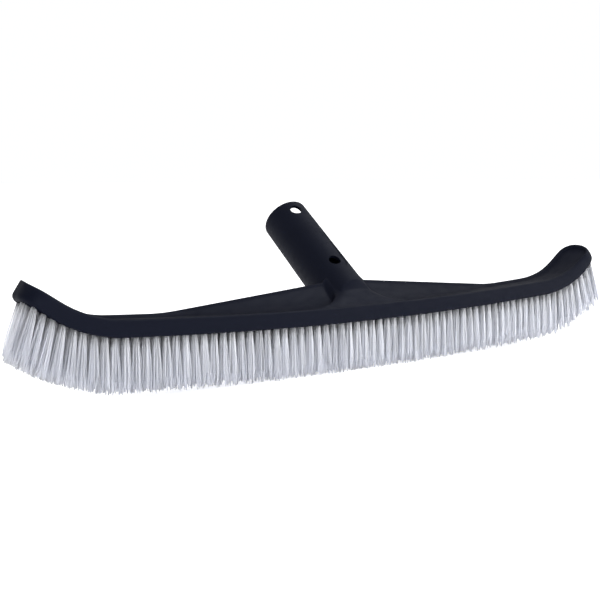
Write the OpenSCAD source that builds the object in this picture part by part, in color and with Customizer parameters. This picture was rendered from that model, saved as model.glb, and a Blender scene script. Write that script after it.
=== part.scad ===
// Pool wall brush: a bowed plastic back with turned-up ends and a pole stub,
// with rows of bristle tufts that flat wire anchors hold in its underside.
// X runs along the brush, Y from its front edge to its rear, and Z up from the bristle tips.

/* [Back] */
// Width of the back, front edge to rear edge
back_w = 25.8; // [24.6:0.2:36]
// Height of the back, underside to lip
back_h = 10; // [8.5:0.1:14]
// Radius of the gentle bow along the middle of the underside
bow_r = 2900; // [1500:10:6000]
// Half length of the bowed middle, measured along the underside
bow_half = 168.5; // [140:0.5:200]
// Underside radius of the bend that turns each end up
bend_r = 84; // [50:1:120]
// Angle that each end turns up through
bend_angle = 30.5; // [12:0.5:36]
// Straight length of each tip past its bend
tip_len = 17.5; // [14:0.5:60]
// Radius of the rounded corners of each end, seen from above
end_r = 11; // [4:0.1:12]
// Width of the raised lip round the top
lip_w = 2.4; // [1.5:0.1:4]
// Depth of the dished top inside the lip
lip_h = 1.2; // [0.5:0.1:2.5]

/* [Wings] */
// Half length of the wings that brace the stub
wing_len = 133; // [90:1:160]
// Height of the wings over the lip, at the middle
wing_rise = 14.7; // [8:0.1:20]
// Slope of a wing's panel, as rise towards the rear over run
wing_slope = 0.58; // [0.5:0.01:0.7]
// Width of the rim along a wing's rear edge
rim_w = 1.6; // [1:0.1:3]
// Height of that rim over the panel
rim_h = 1.2; // [0.3:0.1:2]
// Wall left over the pockets in a wing's rear face
wing_wall = 2.2; // [1.5:0.1:4]
// Width of one pocket
pocket_w = 26; // [15:1:38]
// Thickness of the ribs between the pockets
rib_w = 2; // [1.2:0.1:4]

/* [Stub] */
// Lean of the stub, from upright towards the rear
stub_lean = 53.2; // [40:0.2:65]
// Distance from the front edge to the point that the stub's axis goes through
stub_y = 22; // [19:0.1:28]
// Height of that point over the underside
stub_z = 11.3; // [8:0.1:16]
// Length of the stub from that point to its open end
stub_len = 84; // [80:0.5:120]
// Outer diameter of the stub at its open end, which enters a pole
stub_d = 31.4; // [29.6:0.1:34]
// Draft of the stub's outside, which widens it towards its foot
stub_draft = 0.52; // [0:0.02:1]
// Bore of the stub
bore_d = 27.4; // [20:0.1:28]
// Depth of the bore from the open end
bore_depth = 77.5; // [66:0.5:79]
// Diameter of the holes for a spring clip's buttons
clip_hole_d = 8; // [5:0.1:10]
// Distance from the open end to the upper clip hole
clip_hole_upper = 9; // [7:0.1:14]
// Distance from the open end to the lower clip hole
clip_hole_lower = 62; // [40:0.5:64]
// Turn of the clip holes round the stub, from its upper front to the left
clip_turn = 9; // [0:1:45]
// Diameter of the shallow recess round the lower clip hole
recess_d = 17; // [12:0.5:20]
// Depth of that recess
recess_h = 0.4; // [0.2:0.1:1]
// Half width of the flared foot where it reaches the lip
foot_half = 43; // [30:0.5:55]
// Length of the flare, measured along the stub
foot_flare = 17.5; // [12:0.5:22]
// Slope of the foot's nose behind the lip
nose_angle = 52; // [45:1:70]

/* [Tufts] */
// Distance between tufts along a row
tuft_pitch = 6.2; // [5.8:0.05:6.6]
// Distance between rows
row_gap = 4.7; // [4.3:0.05:4.8]
// Free length of the tufts
tuft_len = 31.8; // [20:0.1:50]
// Width of a tuft at its root
tuft_root = 2.4; // [1.6:0.1:3]
// Width of a tuft at its tip
tuft_tip = 4; // [2.6:0.1:4.2]
// Slope of the underside on which a tuft would stand square to it, as the tufts lean less on gentler slopes
lean_full = 60; // [45:1:90]
// Depth to which the lowest tips are worn flat
tip_flat = 0.5; // [0.2:0.1:1.5]
// Least distance from a row's last tuft to the rounded end of the back
row_inset = 3.6; // [3.4:0.1:9]
// Width of the slice of backing that a row is set in
slice_w = 3.2; // [3.1:0.1:4]
// Thickness of that slice
slice_h = 1.6; // [1:0.1:2.4]

/* [Anchors] */
// Length of an anchor along its row
anchor_len = 3.4; // [2.4:0.1:4.4]
// Thickness of the anchor's flat wire
anchor_w = 0.6; // [0.4:0.05:1]
// Height of an anchor over the slice
anchor_h = 2; // [1.4:0.1:2.6]
// Play over an anchor
anchor_play = 0.05; // [0.02:0.01:0.2]

/* [Hidden] */
$fn = 96;
body_color = "#20242e";
tuft_color = "#d9dbe2";
anchor_color = "#a8a49a";

// Rows run front to rear. Odd rows have a tuft at the middle and even rows straddle it.
ROWS = 5;
MIDDLE_ROW = (ROWS + 1) / 2;
ZONES = ["left", "middle", "right"];

bend_len = bend_r * bend_angle * PI / 180;
half_len = bow_half + bend_len + tip_len;
bow_angle = bow_half / bow_r * 180 / PI;
far = 600;
// Shift of each corner's middle outwards, so that its round crosses the sides at a slight angle
corner_shift = end_r / 90;
// Share of a wing's length that its pockets may take
pocket_share = 0.75;
// Share of the stub's width at the foot's face that the foot's neck takes
neck_share = 0.9;

stub_r = stub_d / 2;
root_r = stub_radius(0);
under_z = tuft_len - tip_flat;
rear_y = stub_y + stub_len * sin(stub_lean) + stub_r * cos(stub_lean);
origin = [0, -rear_y / 2, under_z];
// Offset of the foot's face from the stub's axis, so that it starts just behind the lip
foot_start = lip_w * 1.5;
foot_face = (stub_y - foot_start) * cos(stub_lean) + (back_h - stub_z) * sin(stub_lean);
foot_low = (foot_start - stub_y) * sin(stub_lean) + (back_h - stub_z) * cos(stub_lean);
foot_neck = neck_share * sqrt(root_r * root_r - foot_face * foot_face);

// Height of the wings' rear edge over the underside, and its fall per millimetre along X
wing_peak = back_h + wing_rise;
wing_fall = (wing_peak - bow_height(wing_len) - back_h) / wing_len;

// Outer radius of the stub at a distance along its axis
function stub_radius(along) = stub_r + (stub_len - along) * tan(stub_draft);

// Rise of the bowed underside at a distance from the middle
function bow_height(x) = bow_r - sqrt(bow_r * bow_r - x * x);

// Point and slope angle of the underside at a distance along it: [x, z, angle]
function right_underside(s) =
    s <= bow_half
        ? let (a = s / bow_r * 180 / PI)
            [bow_r * sin(a), bow_r * (1 - cos(a)), a]
        : let (
            a = bow_angle + min((s - bow_half) / bend_r * 180 / PI, bend_angle),
            tip = max(s - bow_half - bend_len, 0)
        )
            [
                bow_r * sin(bow_angle) + bend_r * (sin(a) - sin(bow_angle)) + tip * cos(a),
                bow_r * (1 - cos(bow_angle)) + bend_r * (cos(bow_angle) - cos(a)) + tip * sin(a),
                a
            ];
function underside(s) =
    let (p = right_underside(abs(s)))
        s < 0 ? [-p[0], p[1], -p[2]] : p;

// Point at a distance along the underside and a height over it, in the XZ plane
function over_underside(s, h) =
    let (p = underside(s))
        [p[0] - h * sin(p[2]), p[1] + h * cos(p[2])];

// Places along the underside where the outline of the back has a corner
BOW_STEPS = 20;
BEND_STEPS = 12;
// Number of cells from one corner of a slot's outline to the next, on the bowed middle
SLOT_STRIDE = 4;
right_steps = concat(
    [for (i = [1 : BOW_STEPS]) bow_half * i / BOW_STEPS],
    [for (i = [1 : BEND_STEPS]) bow_half + bend_len * i / BEND_STEPS]
);
function outline_steps(reach) = concat(
    [-reach],
    [for (i = [len(right_steps) - 1 : -1 : 0]) -right_steps[i]],
    [0],
    right_steps,
    [reach]
);

function row_y(row) = back_w / 2 + (row - MIDDLE_ROW) * row_gap;
// How far the rounding draws the end of the back in at a row
function end_inset(row) =
    let (past = max(abs(row_y(row) - back_w / 2) - back_w / 2 + end_r, 0))
        end_r - sqrt(end_r * end_r - past * past);
// Furthest tuft from the middle in a row, and in its middle stretch, in pitches
function row_reach(row) =
    let (
        room = half_len - row_inset - end_inset(row),
        shift = row % 2 == 1 ? 0 : 1 / 2
    )
        floor(room / tuft_pitch - shift) + shift;
middle_reach = floor(2 * bow_half / tuft_pitch) / 2;

// Places of a row's tufts, and of the borders between their cells, along the underside
function zone_tufts(row, zone) =
    let (reach = row_reach(row))
        zone == "middle"
            ? [for (k = [-reach : reach]) if (abs(k) <= middle_reach) k]
            : [for (k = [-reach : reach]) if (sign(k) == (zone == "left" ? -1 : 1)
                && abs(k) > middle_reach) k];
function row_tufts(row) = [for (zone = ZONES) each zone_tufts(row, zone)];
// The outermost cell is cut short, so that it stays inside the rounded end of the back
end_margin = slice_w / 2;
function cell_border(k, side, row) =
    abs(k) == row_reach(row) && sign(k) == side
        ? k * tuft_pitch + side * end_margin
        : (k + side / 2) * tuft_pitch;
function cell_borders(tufts, row) = concat(
    [cell_border(tufts[0], -1, row)],
    [for (k = tufts) cell_border(k, 1, row)]
);

// An outline in the XZ plane, carried along Y from one place to another
module along_y(from, to) {
    translate([0, to, 0])
        rotate([90, 0, 0])
            linear_extrude(to - from)
                children();
}

// A band that follows the underside, between two heights over it
module band(steps, low, high) {
    polygon(concat(
        [for (s = steps) over_underside(s, low)],
        [for (i = [len(steps) - 1 : -1 : 0]) over_underside(steps[i], high)]
    ));
}

module both_sides() {
    children();
    mirror([1, 0, 0])
        children();
}

// The middle of the right end's rounding, with Z square to the straight tip
module at_right_end() {
    p = underside(half_len - end_r);
    translate([p[0], back_w / 2, p[1]])
        rotate([0, -p[2], 0])
            children();
}

// The frame of the stub, with Z along its axis and -Y on its upper front
module at_stub() {
    translate([0, stub_y, stub_z])
        rotate([-stub_lean, 0, 0])
            children();
}

// A band inside the back's outline by a margin, with rounded corners at both ends
module rounded_band(margin, low, high) {
    difference() {
        along_y(margin, back_w - margin)
            band(outline_steps(half_len - margin), low, high);
        both_sides()
            at_right_end()
                for (side = [-1, 1])
                    translate([corner_shift, side * (back_w / 2 - end_r + corner_shift), -back_h])
                        difference() {
                            translate([0, side > 0 ? 0 : -back_w, 0])
                                cube([back_w, back_w, 4 * back_h]);
                            translate([0, 0, -back_h])
                                cylinder(r = end_r - margin, h = 6 * back_h);
                        }
    }
}

module bar() {
    difference() {
        rounded_band(0, 0, back_h);
        rounded_band(lip_w, back_h - lip_h, 2 * back_h);
    }
}

// All that lies above a right wing's panel, lowered by an amount
module above_panel(lowered) {
    tilt = atan(wing_fall);
    translate([0, back_w - rim_w, wing_peak - rim_h - lowered])
        rotate([atan(wing_slope * cos(tilt)), tilt, 0])
            translate([-far / 2, -far / 2, 0])
                cube([far, far, far / 4]);
}

// Side view of a right wing between the middle and its outer end
module wing_outline(from, to, floor, lowered) {
    polygon([
        [from, floor],
        [to, floor + bow_height(to)],
        [to, wing_peak - wing_fall * to - lowered],
        [from, wing_peak - wing_fall * from - lowered]
    ]);
}

module right_wing() {
    seat = back_h - 2 * lip_h;
    pocket_from = root_r + wing_wall;
    pockets = floor((wing_len * pocket_share - pocket_from) / (pocket_w + rib_w));
    difference() {
        along_y(lip_w, back_w)
            wing_outline(0, wing_len, seat, 0);
        difference() {
            above_panel(0);
            translate([-far / 2, back_w - rim_w, 0])
                cube([far, far, far]);
        }
        for (i = [0 : pockets - 1])
            let (from = pocket_from + i * (pocket_w + rib_w))
                difference() {
                    along_y(lip_w, back_w + rim_w)
                        wing_outline(from, from + pocket_w, back_h, wing_wall);
                    above_panel(wing_wall);
                }
    }
}

// The flared foot between the stub and the lip, as seen square to its face
module foot_outline() {
    turn = [for (q = [0 : 7.5 : 90]) [
        foot_neck + (foot_half - foot_neck) * (1 - cos(q)),
        foot_low + foot_flare * (1 - sin(q))
    ]];
    edge = concat([[foot_neck, foot_low + 1.5 * foot_flare]], turn, [[foot_half, foot_low - foot_flare]]);
    polygon(concat(
        edge,
        [for (i = [len(edge) - 1 : -1 : 0]) [-edge[i][0], edge[i][1]]]
    ));
}

// The wings, cut back to the foot's face where the foot crosses them
module wings() {
    difference() {
        both_sides()
            right_wing();
        at_stub()
            along_y(-far, -foot_face)
                foot_outline();
    }
}

// A stretch of the stub's cone, cut off at the underside and along the sloping nose
module stub_stretch(from, to) {
    difference() {
        intersection() {
            at_stub()
                translate([0, 0, from])
                    cylinder(r1 = stub_radius(from), r2 = stub_radius(to), h = to - from);
            translate([-far / 2, lip_w, 0])
                cube(far);
        }
        translate([0, foot_start, back_h])
            rotate([nose_angle - 90, 0, 0])
                translate([-far / 2, -far, -far / 2])
                    cube(far);
    }
}

module foot() {
    intersection() {
        at_stub()
            along_y(-foot_face, root_r)
                foot_outline();
        translate([-far / 2, lip_w, back_h - 2 * lip_h])
            cube([far, back_w - lip_w, far]);
    }
}

module stub_holes() {
    at_stub() {
        translate([0, 0, stub_len - bore_depth])
            cylinder(d = bore_d, h = 2 * bore_depth);
        for (from_end = [clip_hole_upper, clip_hole_lower])
            translate([0, 0, stub_len - from_end])
                rotate([90, 0, -clip_turn])
                    cylinder(d = clip_hole_d, h = 4 * root_r, center = true);
        clip_recess();
    }
}

// The shallow recess that follows the stub's surface round the lower clip hole
module clip_recess() {
    low = stub_len - clip_hole_lower - recess_d;
    high = low + 2 * recess_d;
    difference() {
        translate([0, 0, stub_len - clip_hole_lower])
            rotate([90, 0, -clip_turn])
                cylinder(d = recess_d, h = 2 * root_r);
        translate([0, 0, low])
            cylinder(r1 = stub_radius(low) - recess_h, r2 = stub_radius(high) - recess_h, h = high - low);
    }
}

// Seats for the slices of backing, each with a slot for the row's anchors
module row_seats() {
    for (row = [1 : ROWS])
        let (
            steps = cell_borders(row_tufts(row), row),
            last = len(steps) - 1,
            slot_steps = [for (i = [0 : last])
                if (i % SLOT_STRIDE == 0 || i == last || abs(steps[i]) > bow_half) steps[i]],
            y = row_y(row)
        ) {
            along_y(y - slice_w / 2, y + slice_w / 2)
                band(steps, -back_h, slice_h);
            along_y(y - anchor_w / 2, y + anchor_w / 2)
                band(slot_steps, slice_h / 2, slice_h + anchor_h);
        }
}

module brush_back() {
    color(body_color)
        translate(origin)
            difference() {
                union() {
                    difference() {
                        union() {
                            bar();
                            wings();
                            foot();
                        }
                        stub_stretch(0, stub_len);
                    }
                    stub_stretch(-2 * root_r, 0);
                }
                row_seats();
            }
}

// The hollow stub, which goes on from its solid root in the back
module stub_tube() {
    color(body_color)
        translate(origin)
            difference() {
                stub_stretch(0, stub_len);
                stub_holes();
            }
}

// Corners of a rectangle on a cell: along the row by a, across it by b, at a depth below it
function cell_square(mid, along, y, a, b, depth) =
    [for (c = [[-1, -1], [1, -1], [1, 1], [-1, 1]])
        [
            mid[0] + along[0] * a * c[0] + along[1] * depth,
            y + b * c[1],
            mid[1] + along[1] * a * c[0] - along[0] * depth
        ]];
// A tip corner is drawn back along its edge to the level that the brush stands on
function worn(root, tip) =
    tip[2] < -under_z ? root + (tip - root) * (root[2] + under_z) / (root[2] - tip[2]) : tip;

// One stretch of a row: a slice of backing with one four-sided strand for each tuft
module tuft_stretch(row, zone) {
    tufts = zone_tufts(row, zone);
    borders = cell_borders(tufts, row);
    count = len(tufts);
    y = row_y(row);
    slice_points = [for (s = borders, corner = [[-1, 0], [1, 0], [-1, slice_h], [1, slice_h]])
        let (p = over_underside(s, corner[1]))
            [p[0], y + corner[0] * slice_w / 2, p[1]]];
    strand_points = [for (i = [0 : count - 1])
        let (
            near = over_underside((tufts[i] - 0.5) * tuft_pitch, 0),
            past = over_underside((tufts[i] + 0.5) * tuft_pitch, 0),
            a = over_underside(borders[i], 0),
            b = over_underside(borders[i + 1], 0),
            along = (b - a) / norm(b - a),
            mid = a + along * ((near + past) / 2 - a) * along,
            slope = atan2(along[1], along[0]),
            lean = slope * abs(slope) / lean_full,
            root = cell_square(mid, along, y, tuft_root / 2, tuft_root / 2, 0),
            tip = cell_square(mid, [cos(lean), sin(lean)], y, tuft_tip / 2, tuft_tip / 2, tuft_len)
        )
            each concat(root, [for (c = [0 : 3]) worn(root[c], tip[c])])];
    slice_faces = [for (i = [0 : count - 1])
        let (f = 4 * i, g = f + 4)
            each [
                [f + 2, f + 3, g + 3], [f + 2, g + 3, g + 2],
                [f + 2, g + 2, g], [f + 2, g, f],
                [g + 3, f + 3, f + 1], [g + 3, f + 1, g + 1]
            ]];
    strand_faces = [for (i = [0 : count - 1])
        let (
            f = 4 * i,
            rim = [f, f + 4, f + 5, f + 1],
            root = 4 * (count + 1) + 8 * i,
            tip = root + 4
        )
            each concat(
                [for (c = [0 : 3]) [rim[c], rim[(c + 1) % 4], root + (c + 1) % 4]],
                [for (c = [0 : 3]) [rim[c], root + (c + 1) % 4, root + c]],
                [for (c = [0 : 3]) [root + c, root + (c + 1) % 4, tip + (c + 1) % 4]],
                [for (c = [0 : 3]) [root + c, tip + (c + 1) % 4, tip + c]],
                [[tip, tip + 1, tip + 2], [tip, tip + 2, tip + 3]]
            )];
    last = 4 * count;
    end_faces = [
        [3, 2, 0], [3, 0, 1],
        [last + 2, last + 3, last + 1], [last + 2, last + 1, last]
    ];
    color(tuft_color)
        translate(origin)
            polyhedron(
                points = concat(slice_points, strand_points),
                faces = concat(slice_faces, strand_faces, end_faces)
            );
}

module row_anchors(row) {
    color(anchor_color)
        translate(origin)
            for (k = row_tufts(row))
                let (
                    a = over_underside((k - 0.5) * tuft_pitch, slice_h),
                    b = over_underside((k + 0.5) * tuft_pitch, slice_h),
                    mid = (a + b) / 2,
                    high = anchor_h - anchor_play
                )
                    translate([mid[0], row_y(row), mid[1]])
                        rotate([0, -atan2(b[1] - a[1], b[0] - a[0]), 0])
                            translate([-anchor_len / 2, -anchor_w / 2, 0])
                                cube([anchor_len, anchor_w, high]);
}

brush_back();
stub_tube();
for (row = [1 : ROWS], zone = ZONES)
    tuft_stretch(row, zone);
for (row = [1 : ROWS])
    row_anchors(row);
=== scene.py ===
"""Pool wall brush: the dressed model of a bowed plastic back with bristle rows and a pole stub.

Sizes are in millimetres in a working frame whose Y starts at the front edge of the back and whose Z
starts at the middle of its underside. `to_part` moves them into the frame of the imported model, in metres.
"""
import logging
import math
from contextlib import contextmanager
from dataclasses import dataclass, field
from enum import Enum
from typing import Iterator, Optional, Sequence, Union

import bpy
import numpy as np
from mathutils import Matrix, Vector


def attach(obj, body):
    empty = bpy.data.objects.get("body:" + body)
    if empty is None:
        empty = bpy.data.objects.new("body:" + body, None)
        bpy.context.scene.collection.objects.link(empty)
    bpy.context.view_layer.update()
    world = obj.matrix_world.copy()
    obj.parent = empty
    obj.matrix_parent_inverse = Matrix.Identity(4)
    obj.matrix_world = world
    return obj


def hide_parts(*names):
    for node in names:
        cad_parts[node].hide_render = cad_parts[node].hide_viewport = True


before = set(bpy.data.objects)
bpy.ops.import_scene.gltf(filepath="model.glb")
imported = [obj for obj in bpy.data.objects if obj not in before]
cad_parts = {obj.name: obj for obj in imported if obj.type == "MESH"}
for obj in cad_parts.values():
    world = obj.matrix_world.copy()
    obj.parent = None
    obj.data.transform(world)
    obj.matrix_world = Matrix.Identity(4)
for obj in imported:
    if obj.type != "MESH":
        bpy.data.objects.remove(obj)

LOG = logging.getLogger("pool_wall_brush")
BODY = "root"

Array = np.ndarray
Piece = bpy.types.Object
Color = tuple[float, float, float, float]
Place = tuple[float, float, float]
Span = tuple[float, float]
Measure = Union[float, Array]

MM = 0.001  # metres in a millimetre
TINY = 1e-6  # a measure that counts as nothing
FAR_BELOW = -100.0  # a height that no other surface reaches down to
ROUND_SIDES = 128
HOLE_SIDES = 64

TUFT_LENGTH = 31.8
TIP_FLAT = 0.5
FLOOR_DROP = TUFT_LENGTH - TIP_FLAT

# Lines of the back's grid: those at its edges, by their distance inside the outline, and those along its
# length, by the place up to which a spacing holds, from the middle and then from the end.
EDGE_LINES = (0.0, 0.03, 0.12, 0.3, 0.55, 0.9)
LIP_LINES = (1.3, 1.65, 1.95, 2.25, 2.55, 2.9, 3.3, 3.8)
MIDDLE_SPACING = ((46.0, 0.75), (134.0, 2.6), (170.0, 3.0), (207.0, 1.5))
END_SPACING = ((12.0, 1.6), (3.6, 0.6), (EDGE_LINES[-1], 0.3))


class Slot(str, Enum):
    """The record's material slots of the pieces that are modelled here."""

    BODY = "body"
    BRISTLES = "bristles"


class Zone(str, Enum):
    """Stretches of a bristle row."""

    LEFT = "left"
    MIDDLE = "middle"
    RIGHT = "right"


class Operation(str, Enum):
    """Boolean operations between two solids."""

    UNION = "UNION"
    DIFFERENCE = "DIFFERENCE"


class Part(str, Enum):
    """Kinds of mesh part that are selected for an edit."""

    EDGE = "EDGE"
    FACE = "FACE"


# Small helpers for operators


def deselect_all() -> None:
    """Leave edit mode and deselect every object."""
    if bpy.context.object is not None and bpy.context.object.mode != "OBJECT":
        bpy.ops.object.mode_set(mode="OBJECT")
    bpy.ops.object.select_all(action="DESELECT")


def make_active(obj: Piece) -> None:
    """Select one object alone and make it the active one.

    Args:
        obj: The object.
    """
    deselect_all()
    obj.select_set(True)
    bpy.context.view_layer.objects.active = obj


def take_new(name: str) -> Piece:
    """Name the primitive that was added last.

    Args:
        name: The name of the object and its mesh.

    Returns:
        The object.
    """
    obj = bpy.context.object
    obj.name = name
    obj.data.name = name
    return obj


def apply_place(obj: Piece, place: Optional[Matrix] = None) -> None:
    """Move an object's place, turn and scale into its mesh.

    Args:
        obj: The object.
        place: A new place that it gets first, or None to keep its own.
    """
    if place is not None:
        obj.matrix_world = place
    make_active(obj)
    bpy.ops.object.transform_apply(location=True, rotation=True, scale=True)


def combine(obj: Piece, other: Piece, operation: Operation) -> None:
    """Join another solid to an object or cut it away, then delete the other solid.

    Args:
        obj: The object that is changed.
        other: The solid that is added or cut away.
        operation: What is done with it.
    """
    make_active(obj)
    modifier = obj.modifiers.new("Boolean", "BOOLEAN")
    modifier.object, modifier.operation, modifier.solver = other, operation.value, "MANIFOLD"
    bpy.ops.object.modifier_apply(modifier=modifier.name)
    bpy.data.objects.remove(other, do_unlink=True)


@contextmanager
def editing(obj: Piece, chosen: Optional[Sequence[int]] = None,
            kind: Part = Part.EDGE) -> Iterator[None]:
    """Hold one object in edit mode.

    Args:
        obj: The object.
        chosen: Numbers of the edges or faces that are selected, or None for all.
        kind: Whether they are edges or faces.

    Returns:
        A context, which leaves edit mode at its end.
    """
    make_active(obj)
    bpy.ops.object.mode_set(mode="EDIT")
    bpy.ops.mesh.select_mode(type=kind.value)
    bpy.ops.mesh.select_all(action="SELECT" if chosen is None else "DESELECT")
    if chosen:
        bpy.ops.object.mode_set(mode="OBJECT")
        parts = obj.data.edges if kind is Part.EDGE else obj.data.polygons
        for index in chosen:
            parts[index].select = True
        bpy.ops.object.mode_set(mode="EDIT")
    yield
    bpy.ops.object.mode_set(mode="OBJECT")


def add_bar(name: str, sides: int, radii: Span, ends: Span) -> Piece:
    """Add a round bar along Z, straight or tapered.

    Args:
        name: The name of the object.
        sides: The number of its sides.
        radii: Its radii at its low and high end, in millimetres.
        ends: The heights of its ends, in millimetres.

    Returns:
        The bar.
    """
    low, high = ends
    deselect_all()
    bpy.ops.mesh.primitive_cone_add(
        vertices=sides, radius1=radii[0] * MM, radius2=radii[1] * MM, depth=(high - low) * MM,
        location=(0.0, 0.0, (high + low) / 2.0 * MM))
    bar = take_new(name)
    apply_place(bar)
    return bar


def turn_faces_out(obj: Piece) -> None:
    """Make all faces of a closed shell point outwards."""
    with editing(obj):
        bpy.ops.mesh.normals_make_consistent(inside=False)


def slice_solid(obj: Piece, place: Sequence[float], normal: Sequence[float]) -> None:
    """Cut off all of a solid that lies on a plane's outer side, to which its normal points."""
    with editing(obj):
        bpy.ops.mesh.bisect(plane_co=tuple(place), plane_no=tuple(normal), use_fill=True, clear_outer=True)


def join_all(parts: Sequence[Piece]) -> Piece:
    """Join objects into one.

    Args:
        parts: The objects.

    Returns:
        The first of them, which holds them all.
    """
    deselect_all()
    for part in parts:
        part.select_set(True)
    bpy.context.view_layer.objects.active = parts[0]
    bpy.ops.object.join()
    return parts[0]


def vertex_array(obj: Piece) -> Array:
    """Read the places of an object's vertices.

    Args:
        obj: The object.

    Returns:
        The places, one row each.
    """
    out = np.empty(len(obj.data.vertices) * 3)
    obj.data.vertices.foreach_get("co", out)
    return out.reshape(-1, 3)


def set_vertices(obj: Piece, places: Array) -> None:
    """Write the places of an object's vertices."""
    obj.data.vertices.foreach_set("co", np.ascontiguousarray(places, dtype=float).ravel())
    obj.data.update()


def smooth_max(a: Array, b: Array, reach: float) -> Array:
    """The higher of two heights, with a round where they differ by less than the reach."""
    near = np.maximum(reach - np.abs(a - b), 0.0) / reach
    return np.maximum(a, b) + near * near * reach / 4.0


def smooth_min(a: Array, b: Array, reach: float) -> Array:
    """The lower of two heights, with a round where they differ by less than the reach."""
    return -smooth_max(-a, -b, reach)


def smooth_step(value: Array, low: float, high: float) -> Array:
    """A soft step from nought below the low value to one above the high one."""
    t = np.clip((value - low) / (high - low), 0.0, 1.0)
    return t * t * (3.0 - 2.0 * t)


# Shapes


@dataclass(frozen=True)
class Underside:
    """The curve that the back's underside follows along the brush."""

    bow_r: float = 2900.0
    bow_half: float = 168.5
    bend_r: float = 84.0
    bend_angle: float = math.radians(30.5)
    tip_len: float = 18.7

    @property
    def bend_len(self) -> float:
        """Length of one bend along the underside."""
        return self.bend_r * self.bend_angle

    @property
    def half_len(self) -> float:
        """Half of the length along the underside."""
        return self.bow_half + self.bend_len + self.tip_len

    def bow_height(self, x: Array) -> Array:
        """Rise of the bowed middle at distances from the middle."""
        x = np.minimum(np.abs(x), self.bow_half)
        return self.bow_r - np.sqrt(self.bow_r**2 - x**2)

    def at(self, s: Array, h: Measure) -> tuple[Array, Array, Array]:
        """Places over the underside.

        Args:
            s: Distances along the underside from the middle.
            h: Heights square to the underside.

        Returns:
            X, Z and the slope angle there.
        """
        reach = np.abs(s)
        bow_angle = self.bow_half / self.bow_r
        angle = np.where(
            reach < self.bow_half,
            reach / self.bow_r,
            bow_angle + np.clip((reach - self.bow_half) / self.bend_r, 0.0, self.bend_angle),
        )
        bow = np.minimum(angle, bow_angle)
        tip = np.maximum(reach - self.bow_half - self.bend_len, 0.0)
        x = self.bow_r * np.sin(bow) + self.bend_r * (np.sin(angle) - np.sin(bow)) + tip * np.cos(angle)
        z = self.bow_r * (1 - np.cos(bow)) + self.bend_r * (np.cos(bow) - np.cos(angle)) + tip * np.sin(angle)
        side = np.where(s < 0, -1.0, 1.0)
        return side * (x - h * np.sin(angle)), z + h * np.cos(angle), side * angle


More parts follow.
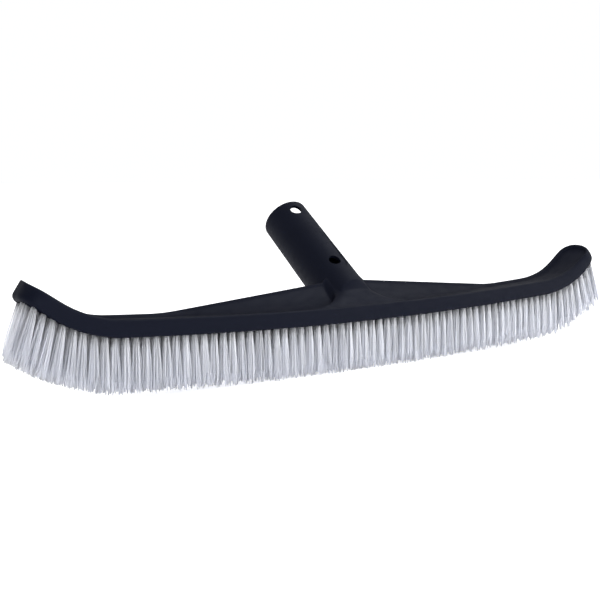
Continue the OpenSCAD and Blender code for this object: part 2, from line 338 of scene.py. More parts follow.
@dataclass
class Moulding:
    """The plastic back: bar, lip, wings, flared foot and hollow stub in one solid.

    A span holds the two places between which a shape eases in, or the values at its two ends.
    """

    underside: Underside = field(default_factory=Underside)
    width: float = 25.8
    height: float = 10.0
    end_r: float = 11.0
    cross_lines: int = 29
    smooth_angle: float = math.radians(32.0)

    # Lip, front ridge with the band under it, and turned-up ends
    lip_w: float = 2.4
    lip_h: float = 1.8
    lip_fall: Span = (-0.4, 1.0)
    edge_r: float = 0.8
    band_w: float = 0.5
    band_h: float = 2.0
    ridge_r: float = 1.6
    ridge_fade: Span = (5.0, 12.0)
    end_edge_r: float = 3.4
    end_edge_reach: Span = (22.0, 6.0)
    end_rise: float = 1.7
    end_rise_y: float = 4.0
    end_reach: Span = (42.0, 8.0)

    # Wings, and the pockets behind them
    wing_len: float = 133.0
    wing_rise: float = 14.7
    wing_slope: float = 0.58
    wing_hollow: float = 0.3
    wing_blend: float = 1.2
    wing_wall: float = 2.2
    rim_w: float = 1.6
    rim_h: float = 1.2
    rim_ease: float = 0.6
    rib_w: float = 2.0
    pocket_w: float = 26.0
    pocket_count: int = 2
    pocket_part: float = 0.55
    pocket_inset: Span = (0.8, 0.4)
    pocket_drop: float = 0.2
    pocket_least: float = 0.5
    pocket_past: float = 2.0

    # Stub with its bore and clip holes
    stub_lean: float = math.radians(53.2)
    stub_y: float = 22.0
    stub_z: float = 11.3
    stub_len: float = 84.0
    stub_r: float = 15.7
    stub_draft: float = math.tan(math.radians(0.52))
    stub_root: float = 1.3  # in radii
    stub_rings: int = 110
    stub_rim_r: float = 0.8
    stub_rim_steps: int = 4
    stub_floor: float = 0.3
    bore_r: float = 13.7
    bore_depth: float = 77.5
    bore_past: float = 4.0
    mouth_h: float = 0.6
    mouth_flare: float = 1.04
    clip_r: float = 4.0
    clip_from_end: Span = (9.0, 62.0)
    clip_turn: float = math.radians(9.0)
    clip_reach: float = 30.0
    recess_r: float = 8.5
    recess_h: float = 0.4
    recess_len: float = 36.0
    recess_depths: Span = (1.35, -0.35)  # in heights of the recess

    # Flared foot, and the nose by which the stub grows out of it
    foot_start: float = 3.6
    foot_half: float = 43.0
    foot_flare: float = 17.5
    flank_w: Span = (4.5, 0.1)
    toe: Span = (-1.4, -0.4)
    toe_gap: float = 0.6
    fillet: float = 4.0
    cover: float = 0.5
    foot_cover: float = 3.5
    nose_angle: float = math.radians(52.0)
    nose_blend: float = 5.0
    nose_gap: float = 0.3
    nose_room: float = 40.0
    nose_fade: Span = (-6.0, 34.0)
    nose_core: float = 1.0
    nose_halvings: int = 24

    @property
    def rear_y(self) -> float:
        """Furthest reach of the stub behind the front edge."""
        return self.stub_y + self.stub_len * math.sin(self.stub_lean) + self.stub_r * math.cos(self.stub_lean)

    @property
    def wing_peak(self) -> float:
        """Height of the wings' rear edge at the middle."""
        return self.height + self.wing_rise

    @property
    def wing_fall(self) -> float:
        """Fall of the wings' rear edge per millimetre along the brush."""
        end = float(self.underside.bow_height(np.array(self.wing_len))) + self.height
        return (self.wing_peak - end) / self.wing_len

    def to_part(self, places: Array) -> Array:
        """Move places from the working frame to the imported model's frame, in metres."""
        return (places + np.array([0.0, -self.rear_y / 2.0, FLOOR_DROP])) * MM

    def stub_radius(self, along: Measure) -> Measure:
        """Outer radius of the stub at distances along its axis."""
        return self.stub_r + (self.stub_len - along) * self.stub_draft

    def stub_frame(self) -> Matrix:
        """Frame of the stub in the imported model, with Z along its axis, in metres."""
        place = self.to_part(np.array([0.0, self.stub_y, self.stub_z]))
        return Matrix.Translation(Vector(place)) @ Matrix.Rotation(-self.stub_lean, 4, "X")

    # Heights of the top

    def outline_depth(self, s: Array, y: Array) -> Array:
        """Measure how far places lie inside the back's outline with its rounded corners.

        Args:
            s: Distances along the underside.
            y: Distances behind the front edge.

        Returns:
            The distances from the outline.
        """
        along = np.abs(s) - (self.underside.half_len - self.end_r)
        across = np.abs(y - self.width / 2.0) - (self.width / 2.0 - self.end_r)
        outside = np.hypot(np.maximum(along, 0.0), np.maximum(across, 0.0))
        return self.end_r - outside - np.minimum(np.maximum(along, across), 0.0)

    @staticmethod
    def edge_drop(depth: Array, radius: Measure) -> Array:
        """Fall of a rounded outer edge at distances inside the outline."""
        inside = np.clip(radius - depth, 0.0, radius)
        return radius - np.sqrt(np.maximum(radius**2 - inside**2, 0.0))

    def foot_width(self, along: Array) -> Array:
        """Measure the flared foot.

        Args:
            along: Distances along the stub's axis.

        Returns:
            Half of the foot's width there.
        """
        face, low = self.foot_edge
        neck = math.sqrt(self.stub_radius(0.0) ** 2 - face**2)
        rise = np.clip((along - low) / self.foot_flare, 0.0, 1.0)
        return neck + (self.foot_half - neck) * (1.0 - np.sqrt(np.maximum(1.0 - (1.0 - rise) ** 2, 0.0)))

    @property
    def foot_edge(self) -> Span:
        """Place the foot's front edge.

        Returns:
            Its distance from the stub's axis, and its place along the axis.
        """
        back, up = self.stub_y - self.foot_start, self.height - self.stub_z
        cos, sin = math.cos(self.stub_lean), math.sin(self.stub_lean)
        return back * cos + up * sin, -back * sin + up * cos

    def axis_height(self, y: Array) -> Array:
        """Height of the stub's axis at distances behind the front edge."""
        return self.stub_z + (y - self.stub_y) / math.tan(self.stub_lean)

    def nose_height(self, y: Array) -> Array:
        """Height of the nose's slope at distances behind the front edge."""
        return self.height + (y - self.foot_start) * math.tan(self.nose_angle)

    def top(self, s: Array, y: Array) -> Array:
        """Height of the moulding's top over its underside.

        Args:
            s: Distances along the underside.
            y: Distances behind the front edge.

        Returns:
            The heights.
        """
        depth = self.outline_depth(s, y)
        bow = self.underside.bow_height(s)
        lip = self.height - self.lip_h * smooth_step(depth, *(self.lip_w + step for step in self.lip_fall))
        tilt = self.near_end(s, self.end_reach)
        lip = lip + self.end_rise * tilt * smooth_step(y, self.end_rise_y, self.width)

        edge = self.wing_peak - self.wing_fall * np.abs(s)
        rim_y = self.width - self.rim_w
        rim = self.rim_h * smooth_step(y, rim_y - self.rim_ease, rim_y + self.rim_ease)
        reach = np.maximum(rim_y - y, 0.0)
        rise = np.maximum(edge - bow - self.rim_h - self.height + self.lip_h, TINY)
        down = np.clip(reach * self.wing_slope / rise, 0.0, 1.0)
        hollow = 4.0 * self.wing_hollow * rise * down * (1.0 - down)
        panel = edge - self.rim_h + rim - self.wing_slope * reach - hollow - bow
        top = smooth_max(lip, panel, self.wing_blend)

        foot, inside = self.foot_surface(s, y)
        top = top + np.maximum(foot - bow - top, 0.0) * inside
        flank = self.stub_radius(0.0) ** 2 - s**2
        crown = self.axis_height(y) + np.sqrt(np.maximum(flank, 0.0)) / math.sin(self.stub_lean)
        tube = np.where(flank > 0.0, crown, FAR_BELOW)
        buried = smooth_min(tube, self.nose_height(y), self.nose_blend)
        buried = buried - bow - self.cover - self.foot_cover * inside
        top = smooth_max(top, buried, self.fillet)
        return top - self.edge_drop(depth, self.edge_r) - self.ridge_drop(depth, y)

    def near_end(self, s: Array, reach: Span) -> Array:
        """A soft step along the underside, between two distances from its end."""
        half_len = self.underside.half_len
        return smooth_step(np.abs(s), half_len - reach[0], half_len - reach[1])

    def ridge_drop(self, depth: Array, y: Array) -> Array:
        """Shape the front's round ridge and the steep band under it.

        Args:
            depth: Distances inside the outline.
            y: Distances behind the front edge.

        Returns:
            How far the top falls there.
        """
        front = 1.0 - smooth_step(y, *self.ridge_fade)
        band = self.band_h * np.clip(1.0 - depth / self.band_w, 0.0, 1.0)
        return front * (band + self.edge_drop(np.maximum(depth - self.band_w, 0.0), self.ridge_r))

    def foot_surface(self, s: Array, y: Array) -> tuple[Array, Array]:
        """The flared foot, whose face bulges into the stub.

        Args:
            s: Distances along the brush from the middle.
            y: Distances behind the front edge.

        Returns:
            Heights over the middle of the underside, and how far each place is within the foot, from 0 to 1.
        """
        back = y - self.foot_start
        face = self.height + back / math.tan(self.stub_lean)
        along = (y - self.stub_y) * math.sin(self.stub_lean) + (face - self.stub_z) * math.cos(self.stub_lean)
        half = self.foot_width(along)
        front_z = self.axis_height(y) + self.stub_radius(0.0) / math.sin(self.stub_lean)
        crest = smooth_min(front_z, self.nose_height(y), self.nose_blend)
        bulge = np.maximum(crest - face, 0.0) * np.maximum(1.0 - (s / half) ** 2, 0.0)
        flank = smooth_step(half - np.abs(s), -self.flank_w[0], -self.flank_w[1])
        return face + bulge, flank * smooth_step(back, *self.toe)

    # Meshes

    def lines_along(self) -> Array:
        """Space the tray's crossing lines, close together where the shape turns.

        Returns:
            Their places along the underside.
        """
        end = self.underside.half_len
        right: list[float] = []
        low = 0.0
        for high, step in (*MIDDLE_SPACING, *((end - inside, step) for inside, step in END_SPACING)):
            count = max(int(round((high - low) / step)), 1)
            right.extend(np.linspace(low, high, count, endpoint=False))
            low = high
        right.extend(end - np.array(EDGE_LINES[::-1]))
        line = np.array(right)
        return np.concatenate([-line[:0:-1], line])

    def lines_across(self) -> Array:
        """Space the tray's lengthwise lines.

        Returns:
            Their places behind the front edge.
        """
        edge = np.array(EDGE_LINES + LIP_LINES)
        middle = np.linspace(edge[-1], self.width - edge[-1], self.cross_lines)[1:-1]
        return np.concatenate([edge, middle, self.width - edge[::-1]])

    def tray_sheet(self, name: str, upper: bool) -> Piece:
        """One skin of the tray: its shaped top or its smooth underside.

        Args:
            name: The name of the object.
            upper: Whether the skin is the top.

        Returns:
            The skin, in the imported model's frame.
        """
        along, across = self.lines_along(), self.lines_across()
        steps = np.array([len(along) - 1, len(across) - 1])
        deselect_all()
        bpy.ops.mesh.primitive_grid_add(x_subdivisions=int(steps[0]), y_subdivisions=int(steps[1]), size=1.0)
        sheet = take_new(name)
        column, line = np.rint((vertex_array(sheet)[:, :2] + 0.5) * steps).astype(int).T
        s, y = along[column], across[line]
        past = np.maximum(np.abs(s) - (self.underside.half_len - self.end_r), 0.0)
        trim = self.end_r - np.sqrt(np.maximum(self.end_r**2 - past**2, 0.0))
        y = trim + y * (1.0 - 2.0 * trim / self.width)
        under_r = self.edge_r + (self.end_edge_r - self.edge_r) * self.near_end(s, self.end_edge_reach)
        height = self.top(s, y) if upper else self.edge_drop(self.outline_depth(s, y), under_r)
        x, z, _ = self.underside.at(s, height)
        set_vertices(sheet, self.to_part(np.column_stack([x, y, z])))
        return sheet

    def build_tray(self) -> Piece:
        """Model the bar with its lip, wings and foot.

        Returns:
            One closed shell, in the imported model's frame.
        """
        top = self.tray_sheet("brush_back_moulding", True)
        join_all([top, self.tray_sheet("tray_underside", False)])
        with editing(top, ()):
            bpy.ops.mesh.select_non_manifold(extend=False, use_wire=False, use_boundary=True,
                                             use_multi_face=False, use_non_contiguous=False, use_verts=False)
            bpy.ops.mesh.bridge_edge_loops()
        turn_faces_out(top)
        return top

    def build_stub(self) -> Piece:
        """Model the stub without its bore, drawn in smoothly along its sloping nose.

        Returns:
            The solid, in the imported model's frame.
        """
        low = -self.stub_root * self.stub_radius(0.0)
        stub = add_bar("stub", ROUND_SIDES, (self.stub_radius(low), self.stub_r), (low, self.stub_len))
        heights = vertex_array(stub)[:, 2]
        rim_z = self.stub_len * MM - TINY
        rim = [edge.index for edge in stub.data.edges if all(heights[end] > rim_z for end in edge.vertices)]
        with editing(stub, rim):
            bpy.ops.mesh.bevel(offset=self.stub_rim_r * MM, segments=self.stub_rim_steps, affect="EDGES")
        heights = vertex_array(stub)[:, 2]
        least = self.stub_len / 2.0 * MM
        sides = [edge.index for edge in stub.data.edges if np.ptp(heights[list(edge.vertices)]) > least]
        with editing(stub, sides):
            bpy.ops.mesh.subdivide(number_cuts=self.stub_rings)
        set_vertices(stub, self.draw_in_nose(vertex_array(stub) / MM) * MM)
        apply_place(stub, self.stub_frame())
        front = (0.0, self.foot_start - self.toe_gap, 0.0)
        slice_solid(stub, self.to_part(np.array([0.0, 0.0, self.stub_floor])), (0.0, 0.0, -1.0))
        slice_solid(stub, self.to_part(np.array(front)), (0.0, -1.0, 0.0))
        return stub

    def draw_in_nose(self, places: Array) -> Array:
        """Draw the stub's front in below the foot's surface, from which it grows out higher up.

        Args:
            places: Vertices in the stub's frame.

        Returns:
            The moved vertices.
        """
        radius = np.maximum(np.hypot(places[:, 0], places[:, 1]), TINY)
        turn_x, turn_y = places[:, 0] / radius, places[:, 1] / radius
        along = places[:, 2]
        cos, sin = math.cos(self.stub_lean), math.sin(self.stub_lean)
        room = self.nose_room * smooth_step(along, *self.nose_fade)

        def outside(reach: Array) -> Array:
            """Find where the stub's front lies over the foot's surface.

            Args:
                reach: Distances from the axis, one for each vertex.

            Returns:
                Whether it does.
            """
            y = self.stub_y + along * sin + reach * turn_y * cos
            z = self.stub_z + along * cos - reach * turn_y * sin
            surface, _ = self.foot_surface(reach * turn_x, y)
            return (z > surface - self.nose_gap + room) & (turn_y < 0.0)

        low, high = np.zeros_like(radius), radius
        for _ in range(self.nose_halvings):
            middle = (low + high) / 2.0
            over = outside(middle)
            low, high = np.where(over, low, middle), np.where(over, middle, high)
        drawn = np.where(outside(radius), np.maximum(low, self.nose_core), radius)
        out = places.copy()
        out[:, :2] *= (drawn / radius)[:, None]
        return out

    def build_bore(self) -> Piece:
        """Model the bore with its chamfered mouth.

        Returns:
            The solid that is cut out of the stub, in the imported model's frame.
        """
        low, mouth = self.stub_len - self.bore_depth, self.stub_len - self.mouth_h
        bore = add_bar("bore", ROUND_SIDES, (self.bore_r, self.bore_r), (low, mouth))
        upper = [face.index for face in bore.data.polygons if face.normal.z > 1.0 - TINY]
        with editing(bore, upper, Part.FACE):
            for rise, scale in ((self.mouth_h, self.mouth_flare), (self.bore_past, 1.0)):
                bpy.ops.mesh.extrude_region_move(TRANSFORM_OT_translate={"value": (0.0, 0.0, rise * MM)})
                bpy.ops.transform.resize(value=(scale, scale, 1.0), center_override=(0.0, 0.0, 0.0))
        apply_place(bore, self.stub_frame())
        return bore

    def clip_cutter(self, name: str, radius: float, from_end: float, low: float) -> Piece:
        """A round bar across the stub, on the line of a clip hole.

        Args:
            name: The name of the object.
            radius: Its radius.
            from_end: Distance of its middle line from the stub's open end.
            low: Its start, measured from the stub's axis.

        Returns:
            The bar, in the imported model's frame.
        """
        bar = add_bar(name, HOLE_SIDES, (radius, radius), (low, self.clip_reach))
        turn = Matrix.Rotation(-self.clip_turn, 4, "Z") @ Matrix.Rotation(math.pi / 2.0, 4, "X")
        lift = Matrix.Translation((0.0, 0.0, (self.stub_len - from_end) * MM))
        apply_place(bar, self.stub_frame() @ lift @ turn)
        return bar

    def build_recess(self) -> Piece:
        """Model the recess round the lower clip hole, which runs out towards the open end.

        Returns:
            The thin shell that is cut out of the stub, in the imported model's frame.
        """
        from_end = self.clip_from_end[1]
        shell = self.clip_cutter("recess", self.recess_r, from_end, 0.0)
        places = vertex_array(shell)
        frame_z = np.array(self.stub_frame().col[2][:3])
        centre = np.array(self.stub_frame().translation) + frame_z * (self.stub_len - from_end) * MM
        ahead = (places - centre) @ frame_z > TINY
        places[ahead] += frame_z * self.recess_len * MM
        set_vertices(shell, places)
        low = self.stub_len - from_end - 2.0 * self.recess_r
        high = self.stub_len - from_end + self.recess_len + 2.0 * self.recess_r
        low_r, high_r = (self.stub_radius(along) - depth * self.recess_h
                         for along, depth in zip((low, high), self.recess_depths))
        core = add_bar("recess_core", ROUND_SIDES, (low_r, high_r), (low, high))
        apply_place(core, self.stub_frame())
        combine(shell, core, Operation.DIFFERENCE)
        return shell

    def build_pockets(self) -> Piece:
        """Model the pockets in the wings' rear faces, between their ribs.

        Returns:
            The wedges that are cut out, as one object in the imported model's frame.
        """
        start = self.stub_radius(0.0) + self.wing_wall
        wedges: list[Piece] = []
        for index in range(self.pocket_count):
            low = start + index * (self.pocket_w + self.rib_w)
            for side in (-1.0, 1.0):
                wedges.append(self.pocket_wedge(side, low, low + self.pocket_w))
        return join_all(wedges)

    def pocket_wedge(self, side: float, low: float, high: float) -> Piece:
        """One pocket's wedge.

        Args:
            side: -1 for the left wing and 1 for the right one.
            low: Its start along the brush.
            high: Its end.

        Returns:
            The wedge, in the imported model's frame.
        """
        deselect_all()
        bpy.ops.mesh.primitive_cube_add(size=2.0)
        wedge = take_new("pocket")
        corner = vertex_array(wedge)
        x = np.where(corner[:, 0] * side > 0, high, low)
        edge = self.wing_peak - self.wing_fall * x - self.wing_wall
        rim_y = self.width - self.rim_w
        floor = self.height + self.underside.bow_height(x)
        panel = edge - self.rim_h - self.pocket_drop
        front_y = rim_y - self.pocket_part * (panel - floor) / self.wing_slope
        rear = corner[:, 1] > 0
        upper = corner[:, 2] > 0
        low_in, high_in = self.pocket_inset
        y = np.where(upper, rim_y - high_in, np.minimum(front_y, rim_y - low_in))
        y = np.where(rear, self.width + self.pocket_past, y)
        z = np.where(upper, np.maximum(np.where(rear, edge, panel), floor + self.pocket_least), floor)
        set_vertices(wedge, self.to_part(np.column_stack([side * x, y, z])))
        turn_faces_out(wedge)
        return wedge

    def build(self) -> Piece:
        """Model the whole moulding.

        Returns:
            The finished piece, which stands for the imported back.
        """
        body = self.build_tray()
        combine(body, self.build_stub(), Operation.UNION)
        combine(body, self.build_bore(), Operation.DIFFERENCE)
        combine(body, self.build_recess(), Operation.DIFFERENCE)
        for index, from_end in enumerate(self.clip_from_end):
            hole = self.clip_cutter(f"clip_hole_{index}", self.clip_r, from_end, -self.clip_reach)
            combine(body, hole, Operation.DIFFERENCE)
        combine(body, self.build_pockets(), Operation.DIFFERENCE)
        with editing(body):
            bpy.ops.mesh.remove_doubles(threshold=TINY)
            bpy.ops.mesh.quads_convert_to_tris()
        bpy.ops.object.shade_smooth_by_angle(angle=self.smooth_angle)
        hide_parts("brush_back", "stub_tube")
        return body


@dataclass
class Bristles:
    """Rows of tufts, each a bundle of fine tapered filaments that spread towards their tips."""

    moulding: Moulding
    rows: int = 5
    pitch: float = 6.2
    row_gap: float = 4.7
    reach: tuple[float, ...] = (36.0, 36.5, 36.0, 36.5, 36.0)
    middle_reach: float = 27.0
    end_pull: tuple[float, ...] = (0.0, 0.5, 1.4, 2.2, 2.6)
    end_tufts: Span = (30.0, 36.0)
    lean_full: float = math.radians(64.0)
    uneven: float = 0.8
    front_uneven: float = 0.3

    clumps: int = 11
    clump_size: int = 8
    outer_root_r: float = 1.6
    inner_root_r: float = 2.7
    tip_along: float = 4.2
    tip_across: float = 3.0
    stray: float = 0.25
    gather: float = 0.8
    gather_from: float = 0.75
    spread_power: float = 0.8
    ragged: float = 1.7
    uncut: float = 0.35
    sunk: float = 0.8
    floor_gap: float = 0.02

    filament_r: float = 0.18
    sides: int = 3
    taper: float = 0.75
    segments: int = 4
    seed: int = 41
    seed_step: int = 10

    def tuft_places(self, row: int, zone: Zone) -> Array:
        """Place the tufts of a stretch.

        Args:
            row: The row, counted from the front.
            zone: The stretch.

        Returns:
            Their places along the underside, in pitches.
        """
        reach = self.reach[row - 1]
        places = np.arange(int(2 * reach) + 1) - reach
        middle = np.abs(places) <= self.middle_reach
        if zone is Zone.MIDDLE:
            return places[middle]
        side = -1.0 if zone is Zone.LEFT else 1.0
        return places[~middle & (np.sign(places) == side)]

    def build_filament(self) -> tuple[Array, list[tuple[int, ...]]]:
        """Model one filament of unit length.

        Returns:
            Its vertices and its faces.
        """
        deselect_all()
        bpy.ops.mesh.primitive_cone_add(
            vertices=self.sides, radius1=1.0, radius2=self.taper, depth=1.0, location=(0.0, 0.0, 0.5))
        filament = take_new("filament")
        apply_place(filament)
        for step in range(1, self.segments):
            with editing(filament):
                bpy.ops.mesh.bisect(plane_co=(0.0, 0.0, step / self.segments), plane_no=(0.0, 0.0, 1.0))
        # A stretch mirrors the filament to point it down, which turns its faces outwards again.
        with editing(filament):
            bpy.ops.mesh.flip_normals()
        places = vertex_array(filament)
        faces = [tuple(face.vertices) for face in filament.data.polygons]
        bpy.data.objects.remove(filament, do_unlink=True)
        return places, faces

    def spread(self, rng: np.random.Generator, row: int, tufts: int) -> tuple[Array, ...]:
        """Draw how the filaments of a stretch stand in their tufts.

        Args:
            rng: The stretch's random numbers.
            row: The row, counted from the front.
            tufts: The number of tufts.

        Returns:
            Offsets of the roots, offsets of the tips, pulls of the tips into clumps, and lengths.
        """
        each = self.clumps * self.clump_size
        count = tufts * each
        turn = np.sort(rng.uniform(0, 2 * math.pi, (tufts, each)), axis=1).ravel()
        out = np.sqrt(rng.uniform(0, 1, count))[:, None] * np.column_stack([np.cos(turn), np.sin(turn)])
        root = out * (self.outer_root_r if row in (1, self.rows) else self.inner_root_r)
        tip = out * np.array([self.tip_along, self.tip_across]) + rng.normal(0, self.stray, (count, 2))
        middle = tip.reshape(-1, self.clump_size, 2).mean(axis=1)
        pull = self.gather * (np.repeat(middle, self.clump_size, axis=0) - tip)
        cut = np.repeat(np.abs(rng.normal(0, self.ragged, len(middle))), self.clump_size)
        length = TUFT_LENGTH - cut - np.abs(rng.normal(0, self.uncut, count))
        return root, tip, pull, length

    def place_filaments(self, rng: np.random.Generator, row: int, zone: Zone,
                        shape: Array) -> Array:
        """Place all filaments of a stretch.

        Args:
            rng: The stretch's random numbers.
            row: The row, counted from the front.
            zone: The stretch.
            shape: The vertices of one filament of unit length.

        Returns:
            Places of the vertices in the working frame, by filament.
        """
        tufts = self.tuft_places(row, zone)
        shift = rng.uniform(-self.uneven, self.uneven, len(tufts)) * (self.front_uneven if row == 1 else 1.0)
        shift = shift - self.end_pull[row - 1] * np.sign(tufts) * smooth_step(np.abs(tufts), *self.end_tufts)
        root, tip, pull, length = self.spread(rng, row, len(tufts))
        count = len(length)
        stations = np.repeat(tufts + shift / self.pitch, count // len(tufts))

        x, z, angle = self.moulding.underside.at(stations * self.pitch, 0.0)
        y = self.moulding.width / 2.0 + (row - 1 - (self.rows - 1) / 2.0) * self.row_gap
        origin = np.column_stack([x, np.full(count, y), z])
        along = np.column_stack([np.cos(angle), np.zeros(count), np.sin(angle)])
        across = np.array([0.0, 1.0, 0.0])
        lean = angle * np.abs(angle) / self.lean_full
        down = np.column_stack([np.sin(lean), np.zeros(count), -np.cos(lean)])

        u = shape[:, 2][None, :, None]
        bend, close = u**self.spread_power, smooth_step(u, self.gather_from, 1.0)
        aside = root[:, None, :] * (1 - bend) + tip[:, None, :] * bend + pull[:, None, :] * close
        path = (
            origin[:, None, :]
            + along[:, None, :] * aside[:, :, :1]
            + across * aside[:, :, 1:]
            + down[:, None, :] * (length[:, None, None] * u - self.sunk * (1 - u))
        )
        spin = rng.uniform(0, 2 * math.pi, count)
        cos, sin = np.cos(spin)[:, None], np.sin(spin)[:, None]
        side_x, side_y = shape[None, :, 0], shape[None, :, 1]
        side_a = self.filament_r * (side_x * cos - side_y * sin)
        side_b = self.filament_r * (side_x * sin + side_y * cos)
        places = path + along[:, None, :] * side_a[:, :, None] + across * side_b[:, :, None]
        places[:, :, 2] = np.maximum(places[:, :, 2], -FLOOR_DROP + self.floor_gap)
        return places

    def build_stretch(self, row: int, zone: Zone) -> Piece:
        """Model one stretch of a row.

        Args:
            row: The row, counted from the front.
            zone: The stretch.

        Returns:
            The finished piece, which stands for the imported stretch.
        """
        rng = np.random.default_rng(self.seed + self.seed_step * row + list(Zone).index(zone))
        shape, faces = self.build_filament()
        places = self.place_filaments(rng, row, zone, shape)
        count, size = places.shape[:2]
        start = (np.arange(count) * size)[:, None]
        all_faces: list[list[int]] = []
        for face in faces:
            all_faces.extend((start + np.array(face)[None, :]).tolist())
        name = f"bristles_row{row}_{zone.value}"
        mesh = bpy.data.meshes.new(name)
        mesh.from_pydata(self.moulding.to_part(places.reshape(-1, 3)).tolist(), [], all_faces)
        mesh.polygons.foreach_set("use_smooth", np.ones(len(mesh.polygons), dtype=bool))
        self.write_attribute(mesh, "along", np.tile(shape[:, 2], count))
        self.write_attribute(mesh, "tint", np.repeat(rng.uniform(0, 1, count), size))
        obj = bpy.data.objects.new(name, mesh)
        bpy.context.scene.collection.objects.link(obj)
        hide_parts(f"tufts_row{row}_{zone.value}")
        return obj

    @staticmethod
    def write_attribute(mesh: bpy.types.Mesh, name: str, values: Array) -> None:
        """Store one number for each vertex of a mesh."""
        layer = mesh.attributes.new(name, "FLOAT", "POINT")
        layer.data.foreach_set("value", values.astype(np.float32))


# Shaders


class Signal:
    """A socket's value in a shader, with arithmetic that adds Math nodes."""

    def __init__(self, tree: "ShaderTree", socket: Optional[bpy.types.NodeSocket]) -> None:
        """Wrap a socket of a tree."""
        self.tree = tree
        self.socket = socket

    def _math(self, operation: str, *values: "Value") -> "Signal":
        """Add one Math node."""
        return self.tree.node("ShaderNodeMath", {"operation": operation}, dict(enumerate(values)))

    def __add__(self, other: "Value") -> "Signal":
        """Sum."""
        return self._math("ADD", self, other)

    def __sub__(self, other: "Value") -> "Signal":
        """Difference."""
        return self._math("SUBTRACT", self, other)

    def __rsub__(self, other: float) -> "Signal":
        """Difference from a number."""
        return self._math("SUBTRACT", other, self)

    def __mul__(self, other: "Value") -> "Signal":
        """Product."""
        return self._math("MULTIPLY", self, other)

    def __pow__(self, other: float) -> "Signal":
        """Power."""
        return self._math("POWER", self, other)

    __radd__ = __add__
    __rmul__ = __mul__


Value = Union[Signal, float]


@dataclass(frozen=True)
class Mottle:
    """One layer of noise in a finish, stretched along the axes."""

    scale: float
    detail: float
    stretch: Place = (1.0, 1.0, 1.0)


class ShaderTree:
    """The node tree of one new material or world."""

    def __init__(self, owner: Union[bpy.types.Material, bpy.types.World]) -> None:
        """Give the owner an empty tree.

        Args:
            owner: The new material or world.
        """
        self.owner = owner
        owner.use_nodes = True
        self.tree = owner.node_tree
        self.tree.nodes.clear()

    def node(self, kind: str, settings: Optional[dict[str, object]] = None,
             inputs: Optional[dict[Union[str, int], object]] = None,
             output: Union[str, int] = 0) -> Signal:
        """Add a node.

        Args:
            kind: Blender's type of the node.
            settings: Its attributes, which are set first. A ramp's stops are given as "stops".
            inputs: Its sockets, by name or number, with a value or a signal each.
            output: The socket that is returned.

        Returns:
            The node's output, which is empty for a node that closes the tree.
        """
        made = self.tree.nodes.new(kind)
        for key, value in (settings or {}).items():
            if key == "stops":
                ramp = made.color_ramp.elements
                for index, (place, color) in enumerate(value):
                    stop = ramp[index] if index < len(ramp) else ramp.new(place)
                    stop.position = place
                    stop.color = color
            else:
                setattr(made, key, value)
        for key, value in (inputs or {}).items():
            if isinstance(value, Signal):
                self.tree.links.new(value.socket, made.inputs[key])
            else:
                made.inputs[key].default_value = value
        return Signal(self, made.outputs[output] if made.outputs else None)

    def mix_color(self, amount: Value, low: Union[Signal, Color], high: Union[Signal, Color]) -> Signal:
        """A blend of two colours."""
        return self.node("ShaderNodeMix", {"data_type": "RGBA"}, {0: amount, 6: low, 7: high}, 2)

    def noise(self, mottle: Mottle) -> Signal:
        """Lay noise over Object coordinates.

        Args:
            mottle: The layer of noise.

        Returns:
            Its strength.
        """
        coords = self.node("ShaderNodeTexCoord", output="Object")
        mapped = self.node("ShaderNodeMapping", None, {"Vector": coords, "Scale": mottle.stretch})
        return self.node("ShaderNodeTexNoise", None,
                         {"Vector": mapped, "Scale": mottle.scale, "Detail": mottle.detail})

    def bump(self, height: Signal, strength: float, distance: float) -> Signal:
        """A bumped normal."""
        return self.node("ShaderNodeBump", None,
                         {"Height": height, "Strength": strength, "Distance": distance})

    def surface(self, inputs: dict[str, object]) -> bpy.types.Material:
        """Close a material's tree with a Principled shader.

        Args:
            inputs: The shader's sockets with a value or a signal each.

        Returns:
            The finished material.
        """
        shader = self.node("ShaderNodeBsdfPrincipled", None, inputs)
        self.node("ShaderNodeOutputMaterial", None, {"Surface": shader})
        return self.owner


@dataclass(frozen=True)
class MouldedPlastic:
    """Semi-matte blue-black plastic with a fine moulded grain and faint flow streaks."""

    color: Color = (0.0017, 0.0022, 0.0060, 1.0)
    pale: Color = (0.0031, 0.0040, 0.0100, 1.0)
    specular: float = 0.08
    specular_tint: Color = (0.74, 0.82, 1.0, 1.0)
    ior: float = 1.49
    roughness: float = 0.36
    cloud: Mottle = Mottle(22.0, 4.0)
    cloud_part: float = 0.6
    cloud_rough: float = 0.1
    streak: Mottle = Mottle(60.0, 3.0, (0.12, 1.0, 1.0))
    streak_relief: float = 0.6
    grain: Mottle = Mottle(2600.0, 2.0)
    scuff: Mottle = Mottle(240.0, 5.0, (0.5, 1.0, 1.0))
    scuff_power: float = 3.0
    scuff_rough: float = 0.35
    edge_blend: float = 0.35
    edge_rough: float = 0.32
    relief: float = 0.22
    relief_depth: float = 0.0002

    def material(self) -> bpy.types.Material:
        """Make the finish.

        Returns:
            Its material.
        """
        tree = ShaderTree(bpy.data.materials.new("moulded_plastic"))
        cloud, streak, grain = (tree.noise(layer) for layer in (self.cloud, self.streak, self.grain))
        scuff = tree.noise(self.scuff) ** self.scuff_power
        shade = cloud * self.cloud_part + streak * (1.0 - self.cloud_part)
        # Flanks that are seen edge-on have a wider, duller gloss.
        edge_on = tree.node("ShaderNodeLayerWeight", None, {"Blend": self.edge_blend}, "Facing")
        rough = self.roughness + cloud * self.cloud_rough + scuff * self.scuff_rough
        rough = rough + edge_on * self.edge_rough
        return tree.surface({
            "Base Color": tree.mix_color(shade, self.color, self.pale),
            "Roughness": rough,
            "IOR": self.ior,
            "Specular IOR Level": self.specular,
            "Specular Tint": self.specular_tint,
            "Normal": tree.bump(grain + streak * self.streak_relief, self.relief, self.relief_depth),
        })


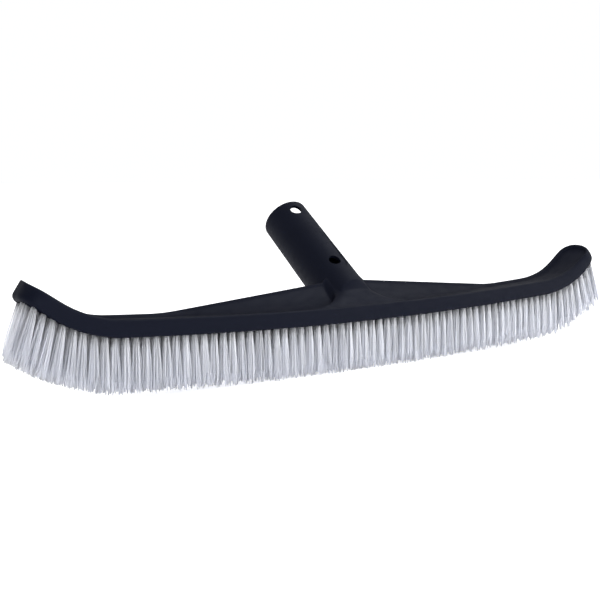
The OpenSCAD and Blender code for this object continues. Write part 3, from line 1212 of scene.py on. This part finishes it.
@dataclass(frozen=True)
class NylonFilament:
    """Off-white translucent nylon, painted lighter at its roots to lift the shade under the back, and a
    little darker towards its tips.
    """

    # Painted light: the root colour is the lightest, to lift the shade where the tufts meet the back; the
    # tips are darker.
    root: Color = (0.93, 0.945, 0.99, 1.0)
    middle: Color = (0.895, 0.918, 0.998, 1.0)
    tip: Color = (0.82, 0.85, 0.955, 1.0)
    root_part: float = 0.35
    tint: Color = (0.92, 0.94, 1.0, 1.0)
    tint_part: float = 0.12
    tint_rough: float = 0.1
    roughness: float = 0.38
    ior: float = 1.53
    glow_weight: float = 0.85
    glow_depth: float = 0.004

    def material(self) -> bpy.types.Material:
        """Make the finish.

        Returns:
            Its material.
        """
        tree = ShaderTree(bpy.data.materials.new("nylon_filament"))
        along = tree.node("ShaderNodeAttribute", {"attribute_name": "along"}, output="Fac")
        tint = tree.node("ShaderNodeAttribute", {"attribute_name": "tint"}, output="Fac")
        # The ramp paints light along each filament: lightest at the root, against the shade under the back,
        # darker at the tip.
        stops = [(0.0, self.root), (self.root_part, self.middle), (1.0, self.tip)]
        shade = tree.node("ShaderNodeValToRGB", {"stops": stops}, {"Fac": along})
        return tree.surface({
            "Base Color": tree.mix_color(tint * self.tint_part, shade, self.tint),
            "Roughness": self.roughness + tint * self.tint_rough,
            "IOR": self.ior,
            "Subsurface Weight": self.glow_weight,
            "Subsurface Radius": (1.0, 1.0, 1.0),
            "Subsurface Scale": self.glow_depth,
        })


@dataclass(frozen=True)
class DrawnWire:
    """Flat drawn wire with lengthwise marks."""

    color: Color = (0.55, 0.54, 0.50, 1.0)
    dark: Color = (0.40, 0.38, 0.34, 1.0)
    marks: Mottle = Mottle(3000.0, 2.0, (0.1, 1.0, 1.0))
    marks_part: float = 0.5
    marks_rough: float = 0.2
    roughness: float = 0.3

    def material(self) -> bpy.types.Material:
        """Make the finish.

        Returns:
            Its material.
        """
        tree = ShaderTree(bpy.data.materials.new("drawn_wire"))
        marks = tree.noise(self.marks)
        return tree.surface({
            "Base Color": tree.mix_color(marks * self.marks_part, self.color, self.dark),
            "Metallic": 1.0,
            "Roughness": self.roughness + marks * self.marks_rough,
        })


@dataclass(frozen=True)
class PaleFloor:
    """Plain pale studio floor that glows a little, so that the brush casts almost no shadow on it."""

    color: Color = (0.86, 0.86, 0.87, 1.0)
    roughness: float = 0.75
    glow: float = 0.6

    def material(self) -> bpy.types.Material:
        """Make the finish.

        Returns:
            Its material.
        """
        tree = ShaderTree(bpy.data.materials.new("pale_floor"))
        return tree.surface({
            "Base Color": self.color,
            "Roughness": self.roughness,
            "Emission Color": (1.0, 1.0, 1.0, 1.0),
            "Emission Strength": self.glow,
        })


@dataclass(frozen=True)
class Surroundings:
    """Pale surroundings that are brighter on one side."""

    color: Color = (0.98, 0.985, 1.0, 1.0)
    bright_side: Place = (0.85, 0.45, 0.25)
    ramp: Span = (-0.8, 0.3)
    levels: Span = (0.75, 1.02)

    def world(self) -> bpy.types.World:
        """Make the surroundings.

        Returns:
            Their world.
        """
        tree = ShaderTree(bpy.data.worlds.new("surroundings"))
        coords = tree.node("ShaderNodeTexCoord", output="Generated")
        toward = tree.node("ShaderNodeVectorMath", {"operation": "DOT_PRODUCT"},
                           {0: coords, 1: self.bright_side}, "Value")
        level = tree.node("ShaderNodeMapRange", None, {
            "Value": toward, "From Min": self.ramp[0], "From Max": self.ramp[1],
            "To Min": self.levels[0], "To Max": self.levels[1],
        })
        shader = tree.node("ShaderNodeBackground", None, {"Color": self.color, "Strength": level})
        tree.node("ShaderNodeOutputWorld", None, {"Surface": shader})
        return tree.owner


@dataclass(frozen=True)
class Lamp:
    """A soft rectangular lamp, in metres and watts."""

    name: str
    place: Place
    size: Span
    power: float

    def hang(self, aim: Place) -> None:
        """Add the lamp to the scene.

        Args:
            aim: The place that it faces.
        """
        data = bpy.data.lights.new(self.name, "AREA")
        data.shape, data.energy = "RECTANGLE", self.power
        data.size, data.size_y = self.size
        lamp = bpy.data.objects.new(self.name, data)
        lamp.location = self.place
        lamp.rotation_euler = (Vector(aim) - Vector(self.place)).to_track_quat("-Z", "Y").to_euler()
        bpy.context.scene.collection.objects.link(lamp)


@dataclass
class Studio:
    """Floor, soft lights and the camera."""

    eye: Place = (-0.424857, -0.560497, 0.121911)
    right: Place = (0.808030, -0.589115, -0.005684)
    up: Place = (0.072626, 0.090031, 0.993287)
    lens: float = 63.6
    sensor: float = 36.0
    nearest: float = 0.01
    floor_size: float = 40.0
    aim: Place = (0.0, 0.0, 0.04)
    lamps: tuple[Lamp, ...] = (
        Lamp("key_lamp", (0.3, -0.7, 1.4), (1.2, 1.0), 3.0),
        Lamp("fill_lamp", (-0.4, -1.4, 0.24), (1.2, 0.45), 6.0),
        Lamp("side_lamp", (1.35, -1.1, 0.42), (1.0, 0.7), 6.0),
        Lamp("ridge_lamp", (0.9, -0.3, 1.2), (0.3, 0.3), 6.5),
    )

    def build_camera(self) -> None:
        """Set the camera at the photograph's place."""
        data = bpy.data.cameras.new("camera")
        data.lens, data.sensor_width, data.clip_start = self.lens, self.sensor, self.nearest
        camera = bpy.data.objects.new("camera", data)
        right, up = Vector(self.right), Vector(self.up)
        turn = Matrix((right, up, right.cross(up))).transposed()
        camera.matrix_world = Matrix.Translation(self.eye) @ turn.to_4x4()
        bpy.context.scene.collection.objects.link(camera)
        bpy.context.scene.camera = camera

    def build_floor(self) -> None:
        """Lay the pale floor."""
        deselect_all()
        bpy.ops.mesh.primitive_plane_add(size=self.floor_size)
        floor = take_new("floor")
        floor.data.materials.append(PaleFloor().material())

    def build_lights(self) -> None:
        """Set the soft lights and the pale surroundings."""
        for lamp in self.lamps:
            lamp.hang(self.aim)
        bpy.context.scene.world = Surroundings().world()
        bpy.context.scene.view_settings.view_transform = "Standard"


def finish_piece(obj: Piece, material: bpy.types.Material) -> None:
    """Give a piece its material and its body.

    Args:
        obj: The piece.
        material: Its material.
    """
    obj.data.materials.clear()
    obj.data.materials.append(material)
    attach(obj, BODY)
    LOG.info("%s: %d faces", obj.name, len(obj.data.polygons))


def main() -> None:
    """Build the brush, its finishes and the studio."""
    logging.basicConfig(level=logging.INFO, format="%(name)s %(message)s")
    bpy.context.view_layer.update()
    studio = Studio()
    studio.build_camera()

    moulding = Moulding()
    finish_piece(moulding.build(), MouldedPlastic().material())

    bristles = Bristles(moulding)
    nylon = NylonFilament().material()
    for row in range(1, bristles.rows + 1):
        for zone in Zone:
            finish_piece(bristles.build_stretch(row, zone), nylon)

    wire = DrawnWire().material()
    for row in range(1, bristles.rows + 1):
        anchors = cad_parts[f"anchors_row{row}"]
        anchors.data.materials.clear()
        anchors.data.materials.append(wire)
        LOG.info("%s: dressed", anchors.name)

    studio.build_floor()
    studio.build_lights()
    deselect_all()


if __name__ == "__main__":
    main()
